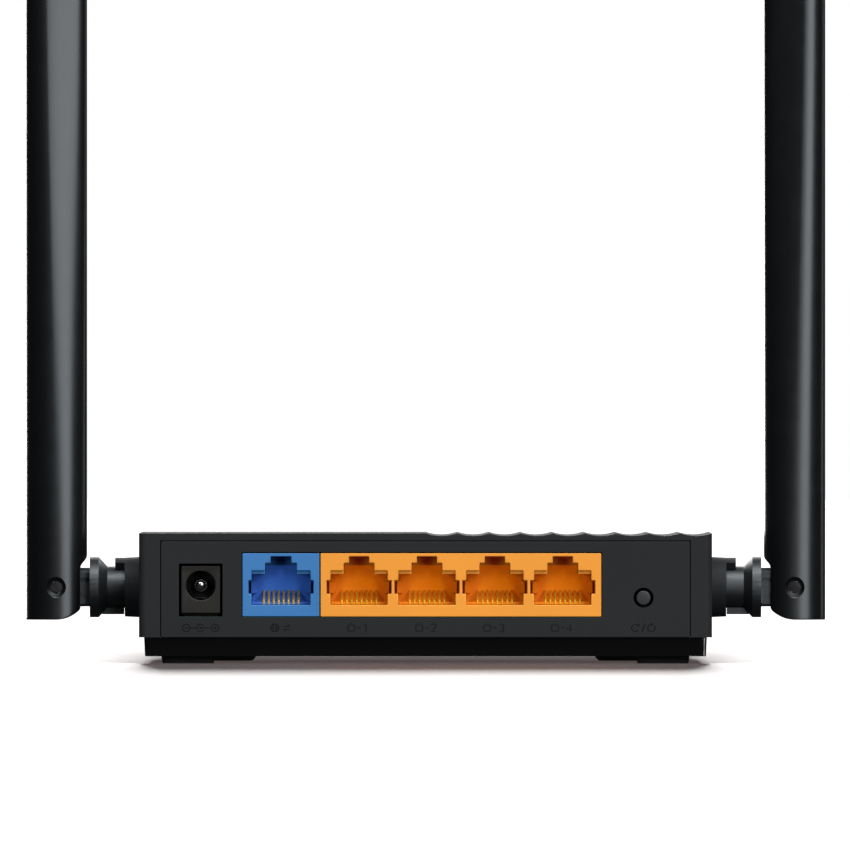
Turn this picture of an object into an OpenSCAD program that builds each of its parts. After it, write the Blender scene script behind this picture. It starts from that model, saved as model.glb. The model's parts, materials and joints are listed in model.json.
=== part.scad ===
// Desktop wireless router with two side-mounted swivel antennas.
// Frame: +Z up, port side towards -Y, origin on the table under the middle of the case.
// All sizes are millimetres.

/* [Case] */
// Width of the top cover
case_w = 118.2; // [117:0.2:124]
// Depth of the top cover, port side to front
case_d = 92; // [90:1:110]
// Height of the top surface above the table
case_top = 26.85; // [26.4:0.05:30]
// Height of the lower edge of the top cover above the table
cover_z = 5.4; // [5:0.1:5.8]
// Height of the feet below the bottom case
foot_h = 1.5; // [1:0.1:2]
// Wall thickness of the cover and the bottom case
wall = 2; // [1.8:0.1:2.2]
// Radius of the vertical corners of the cover
corner_r = 1.4; // [0.8:0.1:2]
// How far the bottom case is set in from the cover
base_inset = 1.05; // [1:0.05:1.3]

/* [Scalloped top] */
// Number of scallops across half of the top
scallops = 9; // [6:1:9]
// Depth of each scallop
scallop_depth = 0.55; // [0.3:0.05:0.6]

/* [Port panel] */
// Half width of the port panel
panel_half = 54.7; // [54.5:0.1:55]
// Height of the top edge of the port panel above the table
panel_top = 25.4; // [25.2:0.1:25.4]
// Gap between the panel and the cover all round
panel_gap = 0.2; // [0.1:0.05:0.3]
// Centre of the wide-area network port, from the middle of the case
wan_x = -29.8; // [-30:0.1:-29.6]
// Centre of the block of four local network ports
lan_x = 7.3; // [7.2:0.1:7.5]
// Spacing of the local network ports
port_pitch = 14; // [13.9:0.1:14]
// Centre of the power socket, from the middle of the case
power_x = -46.35; // [-46.5:0.05:-46.2]
// Height of the power socket's axis above the table
power_z = 16.1; // [15.9:0.1:16.3]
// Centre of the button, from the middle of the case
button_x = 44.95; // [44:0.05:46]
// Height of the button's axis above the table
button_z = 13.55; // [13.4:0.05:13.8]
// Radius of the button's stem
button_r = 1.45; // [1.3:0.05:1.6]
// Radius of the button's hole in the panel
button_hole_r = 2.04; // [1.9:0.02:2.2]
// Travel of the button
button_travel = 0.3; // [0.2:0.05:0.3]

/* [Circuit board] */
// Height of the board's top surface above the table
board_top = 9.7; // [9.6:0.05:9.7]
// Thickness of the board
board_t = 1.6; // [1.2:0.2:1.6]

/* [Antennas] */
// Height of the swivel axis above the table
axis_z = 15.65; // [15:0.05:16.4]
// Distance of the swivel axis from the port side
axis_back = 24; // [22:1:28]
// Length of each antenna blade
blade_len = 150; // [110:5:190]
// Width of each blade
blade_w = 12.7; // [12.4:0.1:13]
// Half thickness of a blade at its hinge
blade_half_t = 5.6; // [5.4:0.1:6]
// Half thickness of a blade at its tip
tip_half_t = 3.4; // [3:0.1:4]
// Radius of the hinge pin
pin_r = 1.2; // [1:0.05:1.3]
// Distance of the hinge pin from the side of the case
pin_out = 17.26; // [17:0.02:18]

/* [Wall mounting] */
// Distance between the two keyholes
keyhole_gap = 60; // [50:1:64]
// Radius of the round end of a keyhole
keyhole_r = 3.75; // [3.5:0.05:4]
// Half width of a keyhole's slot
keyhole_slot_r = 2; // [1.8:0.1:2.2]

/* [Hidden] */
$fn = 48;

// Case
rear_y = -case_d / 2;                  // outer face of the port side
inner_top = case_top - wall;           // underside of the cover's top
base_w = case_w - 2 * base_inset;
base_d = case_d - 2 * base_inset;
base_draft = 0.2;                      // how much the base narrows towards the table on each side
floor_top = foot_h + wall;             // upper face of the bottom case's floor
lip_h = 2;                             // locating lip above the bottom case's wall
lip_gap = 0.15;                        // between the lip and the cover's inner face
lip_t = 1.25;
post_x = case_w / 2 - 4.8;             // case screw posts, from the middle of the case
post_ys = [-8, 38];
post_r = 3;
post_z = 8;                            // where the cover's posts meet the base's columns
column_r = 3.4;
column_top_r = 2.6;
screw_head_r = 2.4;
screw_head_h = 1.8;
screw_shank_r = 1.25;
screw_len = 9;
fit_gap = 0.05;                        // between a screw or pin and its hole
recess_gap = 0.1;                      // round a screw head in its recess
scallop_pitch = case_w / 2 / scallops;
scallop_r = pow(scallop_pitch, 2) / (8 * scallop_depth) + scallop_depth / 2;

// Port panel openings
port_w = 15.9;
port_h = 13.05;
port_bottom = board_top;
port_top = port_bottom + port_h;
port_depth = 17;
window_gap = 0.15;
power_window = [9, 10.95];
power_window_z = board_top - 0.04;
lan_w = 3 * port_pitch + port_w;
lan_ports = [for (i = [-1.5:1:1.5]) lan_x + i * port_pitch];

// Network jack cavity, heights above the board
cavity_half = 6.05;
cavity_low = 2.4;
cavity_high = 9.5;
lead_in = 1;                           // depth at which the ceiling beside the step comes down
ceiling_high = 8.75;
step_half = 3.25;
step_high = 11.05;
notch_half = 2.12;
notch_high = 12.4;
front_wall = 2.5;                      // thickness of the wall that a plug's latch hooks behind
latch_back = 2;                        // how far the latch pocket reaches past the insert's face
insert_high = 10.55;
channel_half = 6.7;                    // side channels that hold the insert's tabs
channel_low = 4.7;
channel_high = 7.45;
tab_half = 4.95;                       // inner and outer faces of a tab, from the port's middle
tab_out = 6.2;
tab_depth = 10.4;
tab_gap = 0.2;                         // above a tab
lan_factor = 0.97;                     // width of a local network port against the wide-area one
insert_front = rear_y + 12;            // front face of the contact insert
insert_gap = 0.05;
tray_front = rear_y + 6.5;
tray_h = 0.6;
contact_pitch = 1.02;
contact_w = 0.36;
contact_t = 0.32;
contact_tip_h = 5.4;                   // highest point of a contact above the board

// Power jack
power_w = 8;
power_h = 9.8;
power_lift = 0.65;                     // flange above the board
power_front = rear_y + 0.7;
power_len = 13.8;
power_hole_r = 3.02;
power_hole_depth = 9.5;
power_pin_r = 1;
power_pin_front = power_front + 0.6;
power_boss_r = 1.44;
power_boss_h = 1.5;
power_flange_r = 1.38;                 // flange of the pin, on the boss
power_flange_t = 0.6;
power_shank_r = 0.8;

// Switch behind the button
switch_front = rear_y + 5;
switch_size = 6;
switch_depth = 3.4;
plunger_end = 1.9;                     // from the switch's front to the plunger's inner end

// Status lights
light_pitch = 7;
light_z = 12;
led_y = 36.6;

// Board
board_half_x = 50.8;
board_rear = rear_y + 2.4;
board_front = 41;
board_hole_xs = [-46, 46];
board_hole_ys = [-12, 31];
board_screw_r = 1.1;

// Swivel, along its axis from the side of the case outwards
neck_r = 4.3;
barrel_r = 6.3;
barrel_end_r = 6.1;
barrel_len = 3.1;
stop_len = 5.1;
stop_half_angle = 34.4;
stop_inner_r = 4.45;
key_start = 3.22;
key_end = 7.8;
key_r = 5.63;
key_half_w = 0.8;
cone_start = 6.7;
collar_start = 8.5;
collar_end = 10.33;
collar_r = 6.25;
tongue_r = 4;
tongue_half_t = 3.1;
lead_bore_r = 1.15;
lead_turn = 3;                         // from the hinge pin back to the lead's turn upwards
barb_r = 5;
barb_len = 1.6;
barb_gap = 0.1;                        // between the snap legs and the case's wall
swivel_end = -wall - barb_gap - barb_len;
axis_y = rear_y + axis_back;

// Blade, from the hinge pin: x outwards from the case, y across, z up
blade_bottom = -6.74;
blade_top = blade_bottom + blade_len;
blade_half_w = blade_w / 2;
blade_wall = 1.4;
relief_x = -4.97;                      // inner face of the blade beside the collar
relief_low = 4.5;
relief_high = 6.05;
slot_half_t = 3.3;                     // slot for the swivel's tongue
slot_x = 4.35;
slot_z = 4.4;
cavity_floor = 7;
pin_recess_r = 1.95;
pin_half_len = blade_half_t - 0.9;
radiator_x = [-2.2, 3];
radiator_z = [28, 118];
radiator_half_t = 0.4;
rib_zs = [40, 108];                    // ribs that hold the radiator
section_points = 36;
section_zs = [0, 0.06, 0.14, 0.24, 0.38, 0.54, 0.7, 0.85, 1];

// Coaxial leads and their sockets on the board
lead_r = 0.57;
lead_joint = swivel_end - 0.3;         // where the two stretches of a lead meet, on the swivel axis
connector_at = [-19.5, 2];             // from the swivel's place on the side of the case
connector_r = 1.6;
connector_h = 2;
lead_low = board_top + 1.1 - axis_z;   // height of the lead where it enters its socket

// ---------------------------------------------------------------- helpers

// Outline of a rectangle with round corners, centred on the origin
function round_rect(w, d, r, steps = 6) =
    [for (corner = [[1, 1, 0], [-1, 1, 90], [-1, -1, 180], [1, -1, 270]])
        for (i = [0:steps])
            let (a = corner[2] + 90 * i / steps)
            [corner[0] * (w / 2 - r) + r * cos(a), corner[1] * (d / 2 - r) + r * sin(a)]];

// Upright block with round corners between two heights
module round_block(w, d, r, z0, z1) {
    translate([0, 0, z0]) linear_extrude(z1 - z0) polygon(round_rect(w, d, r));
}

// Block given by its low and high corners
module span(low, high) {
    translate(low) cube(high - low);
}

// Cylinder along +Y from y0 to y1
module rod_y(r, y0, y1) {
    translate([0, y0, 0]) rotate([-90, 0, 0]) cylinder(r = r, h = y1 - y0);
}

// Cylinder or cone along +X from x0 to x1
module rod_x(r1, x0, x1, r2 = undef) {
    translate([x0, 0, 0]) rotate([0, 90, 0])
        cylinder(r1 = r1, r2 = is_undef(r2) ? r1 : r2, h = x1 - x0);
}

// Puts children at one side of the case, with x pointing out along the swivel axis
module at_side(side) {
    mirror([side < 0 ? 1 : 0, 0, 0]) translate([case_w / 2, axis_y, axis_z]) children();
}

// Puts children at one hinge pin
module at_hinge(side) {
    at_side(side) translate([pin_out, 0, 0]) children();
}

// Smooth curve through hand-placed points (Catmull-Rom)
function spline_point(a, b, c, d, t) =
    0.5 * (2 * b + (c - a) * t + (2 * a - 5 * b + 4 * c - d) * t * t
           + (3 * b - a - 3 * c + d) * t * t * t);
function smooth_path(p, steps = 3) =
    let (n = len(p))
    [for (i = [0:n - 2]) for (k = [0:steps - 1])
        spline_point(p[max(i - 1, 0)], p[i], p[i + 1], p[min(i + 2, n - 1)], k / steps),
     p[n - 1]];
function unit(v) = v / norm(v);

// Round lead swept along a path
module lead(path, r, sides = 8) {
    n = len(path);
    points = [for (i = [0:n - 1])
        let (t = unit(path[min(i + 1, n - 1)] - path[max(i - 1, 0)]),
             u = unit(cross(t, [0.11, 0.93, 0.35])),
             v = cross(t, u))
        for (k = [0:sides - 1]) path[i] + r * (cos(360 * k / sides) * u + sin(360 * k / sides) * v)];
    faces = concat(
        [[for (k = [0:sides - 1]) k]],
        [for (i = [0:n - 2]) for (k = [0:sides - 1])
            let (m = (k + 1) % sides)
            [i * sides + m, i * sides + k, (i + 1) * sides + k, (i + 1) * sides + m]],
        [[for (k = [sides - 1:-1:0]) (n - 1) * sides + k]]);
    polyhedron(points, faces, convexity = 4);
}

// ---------------------------------------------------------------- casing

module scallop_cutters() {
    for (i = [0:scallops - 1])
        translate([(i + 0.5) * scallop_pitch, 0, case_top - scallop_depth + scallop_r])
            rod_y(scallop_r, rear_y - 1, -rear_y + 1, $fn = 96);
}

module swivel_barrel() {
    rod_x(barrel_r, -wall / 2, barrel_len, barrel_end_r);
    intersection() {
        difference() {
            rod_x(barrel_end_r, barrel_len - 0.5, stop_len);
            rod_x(stop_inner_r, barrel_len - 1, stop_len + 1);
        }
        rotate([90, 0, 90]) linear_extrude(stop_len + 1)
            polygon([[0, 0], for (s = [-1, 1]) 9 * [s * sin(stop_half_angle), cos(stop_half_angle)]]);
    }
}

module light_windows(grow) {
    for (i = [-2:2]) translate([i * light_pitch, 0, light_z])
        span([-1.5 - grow, -rear_y - wall - 0.3, -0.6 - grow], [1.5 + grow, -rear_y, 0.6 + grow]);
}

module top_cover() {
    color([0.09, 0.09, 0.10])
    difference() {
        union() {
            difference() {
                round_block(case_w, case_d, corner_r, cover_z, case_top);
                round_block(case_w - 2 * wall, case_d - 2 * wall, 0.4, cover_z - 1, inner_top);
            }
            for (x = [-post_x, post_x], y = post_ys)
                translate([x, y, post_z]) cylinder(r = post_r, h = case_top - 1 - post_z);
            for (side = [-1, 1]) at_side(side) swivel_barrel();
            // ribs that stiffen the underside of the top
            for (x = [-30, 0, 30])
                span([x - 0.6, -24, inner_top - 1.5], [x + 0.6, 40, inner_top + 0.5]);
            // hooks that catch the top of the port panel
            for (x = [-20, 20])
                span([x - 3, rear_y + wall + panel_gap, port_top + 0.4],
                     [x + 3, rear_y + wall + 1.4, inner_top + 0.5]);
        }
        scallop_cutters();
        span([-panel_half, rear_y - 1, cover_z - 1],
             [panel_half, rear_y + wall + panel_gap - 0.01, panel_top]);
        for (side = [-1, 1]) at_side(side)
            rod_x(neck_r + fit_gap, -wall - 1, barrel_len + 0.01);
        for (x = [-post_x, post_x], y = post_ys)
            translate([x, y, post_z - 1]) cylinder(r = screw_shank_r + fit_gap, h = 9);
        translate([0, 0.01, 0]) light_windows(0.1);
    }
}

// Solid outline of the bottom case, narrowing towards the table
module base_body() {
    taper = base_draft;
    intersection() {
        round_block(base_w, base_d, corner_r, foot_h, cover_z);
        rotate([90, 0, 0]) linear_extrude(case_d, center = true)
            polygon([[-base_w / 2 + taper, foot_h], [base_w / 2 - taper, foot_h],
                     [base_w / 2, cover_z], [-base_w / 2, cover_z]]);
        rotate([90, 0, 90]) linear_extrude(case_w, center = true)
            polygon([[-base_d / 2 + taper, foot_h], [base_d / 2 - taper, foot_h],
                     [base_d / 2, cover_z], [-base_d / 2, cover_z]]);
    }
}

module vent_slots() {
    for (row = [0, 1], i = [-6:6])
        translate([i * 5, 13 + row * 14, foot_h - 1])
            linear_extrude(wall + 2) polygon(round_rect(2, 10, 0.98, 4));
}

module keyhole() {
    translate([0, 0, foot_h - 1]) cylinder(r = keyhole_r, h = wall + 2);
    translate([0, 6, foot_h - 1]) cylinder(r = keyhole_slot_r, h = wall + 2);
    span([-keyhole_slot_r, 0, foot_h - 1], [keyhole_slot_r, 6, floor_top + 1]);
}

rear_foot = [11, 11];
rear_foot_at = [49, rear_y + 9.5];
front_foot_r = 5.5;
front_foot_at = [40.9, 34];
foot_recess = 0.4;
label_size = [62, 26];
label_y = -22;
label_recess = 0.3;

// Plate that stands on the rim of the bottom case, in front of its lip
module port_panel() {
    half = panel_half - panel_gap;
    color([0.09, 0.09, 0.10])
    difference() {
        span([-half, rear_y, cover_z], [half, rear_y + wall, panel_top - panel_gap]);
        span([wan_x - port_w / 2 - window_gap, rear_y - 1, port_bottom - window_gap],
             [lan_x + lan_w / 2 + window_gap, rear_y + 5, port_top + window_gap]);
        span([power_x - power_window[0] / 2, rear_y - 1, power_window_z],
             [power_x + power_window[0] / 2, rear_y + 5, power_window_z + power_window[1]]);
        translate([button_x, 0, button_z]) rod_y(button_hole_r, rear_y - 1, rear_y + 5);
    }
}

module bottom_case() {
    lip_w = case_w - 2 * wall - 2 * lip_gap;
    lip_d = case_d - 2 * wall - 2 * lip_gap;
    color([0.05, 0.05, 0.055])
    difference() {
        union() {
            difference() {
                union() {
                    base_body();
                    round_block(lip_w, lip_d, 0.5, cover_z - 1, cover_z + lip_h);
                }
                round_block(lip_w - 2 * lip_t, lip_d - 2 * lip_t, 0.5, floor_top, cover_z + lip_h + 1);
            }
            for (x = [-post_x, post_x], y = post_ys) translate([x, y, 0]) {
                translate([0, 0, foot_h]) cylinder(r = column_r, h = cover_z - foot_h);
                translate([0, 0, foot_h]) cylinder(r = column_top_r, h = post_z - foot_h);
            }
            for (x = board_hole_xs, y = board_hole_ys)
                translate([x, y, foot_h]) cylinder(r = 2.6, h = board_top - board_t - foot_h);
            // ribs under the board
            for (x = [-14, 14])
                span([x - 0.7, -40, floor_top - 0.5], [x + 0.7, -4, board_top - board_t - 1]);
        }
        for (x = [-post_x, post_x], y = post_ys) translate([x, y, 0]) {
            translate([0, 0, foot_h - 1]) cylinder(r = screw_head_r + recess_gap, h = post_z - foot_h - 1.5);
            cylinder(r = screw_shank_r + 0.2, h = post_z + 1);
        }
        for (x = board_hole_xs, y = board_hole_ys)
            translate([x, y, floor_top]) cylinder(r = board_screw_r + fit_gap, h = 9);
        for (x = [-1, 1]) translate([x * keyhole_gap / 2, -2, 0]) keyhole();
        vent_slots();
        for (x = [-1, 1]) {
            translate([x * rear_foot_at[0], rear_foot_at[1], 0])
                span([-rear_foot[0] / 2 - 0.1, -rear_foot[1] / 2 - 0.1, 0],
                     [rear_foot[0] / 2 + 0.1, rear_foot[1] / 2 + 0.1, foot_h + foot_recess]);
            translate([x * front_foot_at[0], front_foot_at[1], 0])
                cylinder(r = front_foot_r + 0.1, h = foot_h + foot_recess);
        }
        translate([0, label_y, 0])
            round_block(label_size[0] + 0.4, label_size[1] + 0.4, 1, 0, foot_h + label_recess);
    }
}

module rear_feet() {
    draft = 0.25;
    color([0.03, 0.03, 0.03])
    for (x = [-1, 1]) translate([x * rear_foot_at[0], rear_foot_at[1], 0])
        intersection() {
            rotate([90, 0, 0]) linear_extrude(rear_foot[1], center = true)
                polygon([[-rear_foot[0] / 2 + draft, 0], [rear_foot[0] / 2 - draft, 0],
                         [rear_foot[0] / 2, foot_h], [rear_foot[0] / 2, foot_h + foot_recess],
                         [-rear_foot[0] / 2, foot_h + foot_recess], [-rear_foot[0] / 2, foot_h]]);
            round_block(rear_foot[0], rear_foot[1], 1, 0, foot_h + foot_recess);
        }
}

module front_feet() {
    chamfer = 0.7;
    color([0.03, 0.03, 0.03])
    for (x = [-1, 1]) translate([x * front_foot_at[0], front_foot_at[1], 0]) {
        cylinder(r1 = front_foot_r - chamfer, r2 = front_foot_r, h = chamfer);
        translate([0, 0, chamfer]) cylinder(r = front_foot_r, h = foot_h + foot_recess - chamfer);
    }
}

module bottom_label() {
    color([0.8, 0.8, 0.8]) translate([0, label_y, 0])
        round_block(label_size[0], label_size[1], 0.8, foot_h + label_recess - 0.2, foot_h + label_recess);
}

// Pan-head screw pointing up, with a cross slot, standing at the height of its head's upper face
module screw(head_r, head_h, shank_r, length) {
    difference() {
        union() {
            translate([0, 0, -head_h]) cylinder(r = head_r, h = head_h);
            cylinder(r = shank_r, h = length);
        }
        for (a = [0, 90]) rotate([0, 0, a])
            span([-head_r * 0.6, -0.3, -head_h - 1], [head_r * 0.6, 0.3, -head_h * 0.4]);
    }
}

module case_screws() {
    color([0.35, 0.35, 0.37])
    for (x = [-post_x, post_x], y = post_ys)
        translate([x, y, post_z - 2.5]) screw(screw_head_r, screw_head_h, screw_shank_r, screw_len);
}

// ---------------------------------------------------------------- circuit board

module main_board() {
    color([0.05, 0.25, 0.12])
    difference() {
        translate([0, (board_rear + board_front) / 2, 0])
            round_block(2 * board_half_x, board_front - board_rear, 1, board_top - board_t, board_top);
        for (x = board_hole_xs, y = board_hole_ys)
            translate([x, y, 0]) cylinder(r = board_screw_r + 0.3, h = board_top + 1);
    }
}

module board_screws() {
    color([0.6, 0.6, 0.6])
    for (x = board_hole_xs, y = board_hole_ys)
        translate([x, y, board_top]) mirror([0, 0, 1]) screw(2, 1.3, board_screw_r, board_t + 3.5);
}

// Plastic shell of a row of network jacks. The factor scales the width of their openings.
module jack_housing(centres, x0, x1, factor) {
    cavity = cavity_half * factor;
    step = step_half * factor;
    notch = notch_half * factor;
    difference() {
        span([x0, rear_y, port_bottom], [x1, rear_y + port_depth, port_top]);
        for (x = centres) translate([x, 0, board_top]) {
            span([-cavity, rear_y - 1, cavity_low], [cavity, rear_y + lead_in, cavity_high]);
            span([-cavity, rear_y - 1, cavity_low], [cavity, rear_y + port_depth + 1, ceiling_high]);
            span([-step, rear_y - 1, cavity_low], [step, rear_y + front_wall + 1, step_high]);
            span([-notch, rear_y - 1, cavity_low], [notch, rear_y + front_wall + 1, notch_high]);
            span([-step, rear_y + front_wall, cavity_low], [step, insert_front + latch_back, notch_high]);
            span([-channel_half, rear_y - 1, channel_low], [channel_half, insert_front + 0.1, channel_high]);
        }
    }
}

// Contact carrier at the back of one jack
module jack_insert(factor) {
    half = cavity_half * factor - insert_gap;
    step = step_half * factor - insert_gap;
    low = cavity_low + insert_gap;
    span([-half, insert_front, low], [half, rear_y + port_depth, ceiling_high - insert_gap]);
    span([-step, insert_front, low], [step, insert_front + latch_back - insert_gap, insert_high]);
    span([-half, tray_front, low], [half, insert_front + 0.1, low + tray_h]);
    for (side = [-1, 1]) scale([side, 1, 1])
        span([tab_half, rear_y + tab_depth, channel_low + insert_gap],
             [tab_out, insert_front + 0.02, channel_high - tab_gap]);
}

// Eight spring contacts of one jack
module jack_contacts() {
    low = cavity_low + 0.1;
    high = cavity_low + tray_h + 0.12;
    y0 = tray_front - 0.03;
    y1 = insert_front - 2.4;
    profile = [[y0, low], [y0, high], [y1, contact_tip_h - contact_t],
               [insert_front, contact_tip_h - contact_t], [insert_front, contact_tip_h],
               [y1 - 0.1, contact_tip_h], [y0 - contact_t, high + contact_t * 0.8], [y0 - contact_t, low]];
    for (i = [-3.5:1:3.5]) translate([i * contact_pitch - contact_w / 2, 0, 0])
        rotate([90, 0, 90]) linear_extrude(contact_w) polygon(profile);
}

module wan_jack_housing() {
    color([0.13, 0.33, 0.72]) jack_housing([wan_x], wan_x - port_w / 2, wan_x + port_w / 2, 1);
}

module wan_jack_insert() {
    color([0.06, 0.16, 0.45]) translate([wan_x, 0, board_top]) jack_insert(1);
}

module wan_jack_contacts() {
    color([0.85, 0.65, 0.2]) translate([wan_x, 0, board_top]) jack_contacts();
}

module lan_jack_housing() {
    color([0.95, 0.55, 0.12])
        jack_housing(lan_ports, lan_x - lan_w / 2, lan_x + lan_w / 2, lan_factor);
}

module lan_jack_inserts() {
    color([0.75, 0.33, 0.04]) for (x = lan_ports) translate([x, 0, board_top]) jack_insert(lan_factor);
}

module lan_jack_contacts() {
    color([0.85, 0.65, 0.2]) for (x = lan_ports) translate([x, 0, board_top]) jack_contacts();
}

// ---------------------------------------------------------------- power jack

module power_jack_body() {
    low = board_top + power_lift - power_z;
    half = power_w / 2;
    color([0.04, 0.04, 0.04]) translate([power_x, 0, power_z])
    difference() {
        union() {
            span([-half, power_front, low], [half, power_front + 3.4, low + power_h]);
            span([-half + 0.4, power_front + 3, board_top - power_z],
                 [half - 0.4, power_front + power_len, low + power_h - 0.6]);
        }
        difference() {
            rod_y(power_hole_r, power_front - 1, power_front + power_hole_depth);
            rod_y(power_boss_r, power_front + power_hole_depth - power_boss_h, power_front + power_len);
        }
        rod_y(power_shank_r + 0.02, power_front, power_front + power_len - 1);
        // pocket that lets the side spring flex
        span([-1.4, power_front + 1.2, -3.3], [1.4, power_front + power_hole_depth, -2]);
    }
}

module power_jack_pin() {
    root = power_front + power_hole_depth - power_boss_h;
    color([0.85, 0.85, 0.86]) translate([power_x, 0, power_z]) {
        rod_y(power_pin_r, power_pin_front + 0.5, root);
        rod_y(power_flange_r, root - power_flange_t, root);
        rod_y(power_shank_r, power_pin_front + 1, power_front + power_len - 1);
        translate([0, power_pin_front, 0]) rotate([-90, 0, 0])
            cylinder(r1 = power_pin_r * 0.6, r2 = power_pin_r, h = 0.5);
    }
}

module power_jack_spring() {
    color([0.8, 0.8, 0.8]) translate([power_x, 0, power_z])
        span([-1.25, power_front + 1.4, -2.7], [1.25, power_front + power_hole_depth - 0.2, -2.45]);
}

// ---------------------------------------------------------------- button and switch

module switch_body() {
    half = switch_size / 2;
    color([0.06, 0.06, 0.06]) translate([button_x, 0, button_z])
    difference() {
        span([-half, switch_front, -half], [half, switch_front + switch_depth, half]);
        rod_y(button_r + 0.1, switch_front - 1, switch_front + 1);
        rod_y(2.4, switch_front + 0.8, switch_front + 2.6);
    }
}

module switch_bracket() {
    half = switch_size / 2 + 0.05;
    foot = board_top - button_z;
    color([0.75, 0.75, 0.77]) translate([button_x, 0, button_z])
    difference() {
        span([-half - 0.3, switch_front, foot], [half + 0.3, switch_front + switch_depth + 0.35, half + 0.3]);
        span([-half, switch_front - 1, foot - 1], [half, switch_front + switch_depth + 0.05, half]);
    }
}

module switch_dome() {
    color([0.8, 0.8, 0.8]) translate([button_x, 0, button_z])
        rod_y(2.2, switch_front + plunger_end + button_travel + 0.1, switch_front + 2.6);
}

module wps_reset_button() {
    tip = rear_y + 0.1;
    color([0.15, 0.15, 0.16]) translate([button_x, 0, button_z]) {
        translate([0, tip, 0]) rotate([-90, 0, 0])
            cylinder(r1 = button_r - 0.3, r2 = button_r, h = 0.3);
        rod_y(button_r, tip + 0.3, switch_front + 0.9);
        rod_y(2.2, switch_front + 0.85, switch_front + 1.6);
        rod_y(1, switch_front + 1.5, switch_front + plunger_end);
    }
}

// ---------------------------------------------------------------- lights

module light_pipe() {
    color([0.9, 0.92, 0.95]) {
        for (i = [-2:2]) translate([i * light_pitch, 0, 0])
            span([-1.5, led_y - 0.6, light_z - 0.6], [1.5, -rear_y - 0.1, light_z + 0.6]);
        span([-19, 38.6, light_z - 0.6], [19, 40.2, light_z + 0.6]);
        for (x = [-18, 18]) span([x - 1, 38.6, board_top], [x + 1, 40.2, light_z]);
    }
}

module status_leds() {
    color([0.9, 0.95, 0.85]) for (i = [-2:2])
        translate([i * light_pitch, led_y, board_top]) span([-0.8, -0.4, 0], [0.8, 0.4, 0.7]);
}

// ---------------------------------------------------------------- board parts

// Flat package on the board: centre, size and height
module package(at, size) {
    translate([at[0] - size[0] / 2, at[1] - size[1] / 2, board_top]) cube(size);
}

processor_at = [4, -2];
processor_size = [13, 13, 1.2];
pad_t = 0.5;
radio_at = [-22, 6];

module processor_chip() {
    color([0.1, 0.1, 0.1]) package(processor_at, processor_size);
}

module thermal_pad() {
    color([0.5, 0.6, 0.75]) translate([0, 0, processor_size[2]])
        package(processor_at, [13, 13, pad_t]);
}

module heat_sink() {
    z = board_top + processor_size[2] + pad_t;
    color([0.7, 0.7, 0.72]) translate([processor_at[0], processor_at[1], z]) {
        span([-10, -10, 0], [10, 10, 1.5]);
        for (i = [-4:4]) span([i * 2.3 - 0.5, -10, 1.4], [i * 2.3 + 0.5, 10, 7]);
    }
}

module radio_chip() {
    color([0.1, 0.1, 0.1]) package(radio_at, [9, 9, 0.9]);
}

module shield_can() {
    size = [26, 22, 2.4];
    sheet = 0.25;
    color([0.75, 0.75, 0.76]) difference() {
        package(radio_at, size);
        translate([0, 0, -0.01]) package(radio_at, size - [2 * sheet, 2 * sheet, sheet]);
        for (x = [-10:4:10], y = [-8:4:8]) translate([radio_at[0] + x, radio_at[1] + y, board_top])
            cylinder(r = 0.6, h = 5, $fn = 24);
    }
}

module memory_chips() {
    color([0.1, 0.1, 0.1]) {
        package([24, -2], [8, 13, 1.1]);
        package([36, 14], [5.3, 5.3, 1.7]);
    }
}

module network_transformers() {
    color([0.08, 0.08, 0.08]) {
        package([wan_x, -21], [14, 8, 4.6]);
        package([-5, -21], [17, 8, 4.6]);
        package([20, -21], [17, 8, 4.6]);
    }
}

module electrolytic_capacitors() {
    color([0.15, 0.15, 0.3]) for (at = [[-44, 0], [-44, 8], [-44, 16]])
        translate([at[0], at[1], board_top]) {
            cylinder(r = 3.15, h = 7);
            translate([0, 0, 7]) cylinder(r = 2.6, h = 0.2);
        }
}

module power_inductors() {
    color([0.2, 0.2, 0.2]) for (x = [-42, -35]) package([x, 24], [5.6, 5.6, 3]);
}

module crystals() {
    color([0.8, 0.8, 0.8]) {
        package([18, 14], [3.2, 2.5, 0.8]);
        package([-22, 24], [3.2, 2.5, 0.8]);
    }
}

module small_chip_parts() {
    color([0.55, 0.45, 0.35]) {
        for (i = [0:7]) package([-6 + i * 2.4, 14], [0.8, 1.6, 0.5]);
        for (i = [0:5]) package([32 + i * 2, -12], [0.8, 1.6, 0.5]);
        for (i = [0:5]) package([-30 + i * 2, 30], [0.8, 1.6, 0.5]);
    }
}

// ---------------------------------------------------------------- swivels

module tongue() {
    difference() {
        intersection() {
            union() {
                span([collar_end - 0.5, -tongue_half_t, -tongue_r], [pin_out, tongue_half_t, tongue_r]);
                translate([pin_out, 0, 0]) rod_y(tongue_r, -tongue_half_t, tongue_half_t);
            }
            rod_x(sqrt(pow(tongue_r, 2) + 3.2), collar_end - 1, pin_out + tongue_r + 1);
        }
        // round the upper edges, and step the flanks below them
        for (side = [-1, 1]) scale([1, side, 1]) {
            span([collar_end, tongue_half_t - 0.5, 1], [pin_out + tongue_r + 1, tongue_half_t + 1, 1.9]);
            span([collar_end, tongue_half_t - 0.2, -tongue_r - 1],
                 [pin_out + tongue_r + 1, tongue_half_t + 1, 1.01]);
            translate([pin_out - 5.4, 0, 0]) rotate([90, 0, 0]) translate([0, 0, -tongue_half_t - 1])
                linear_extrude(1.45) polygon([[-1.3, -2.7], [-0.2, -1.3], [6, -1.3], [6, -5], [-1.3, -5]]);
        }
    }
}

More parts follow.
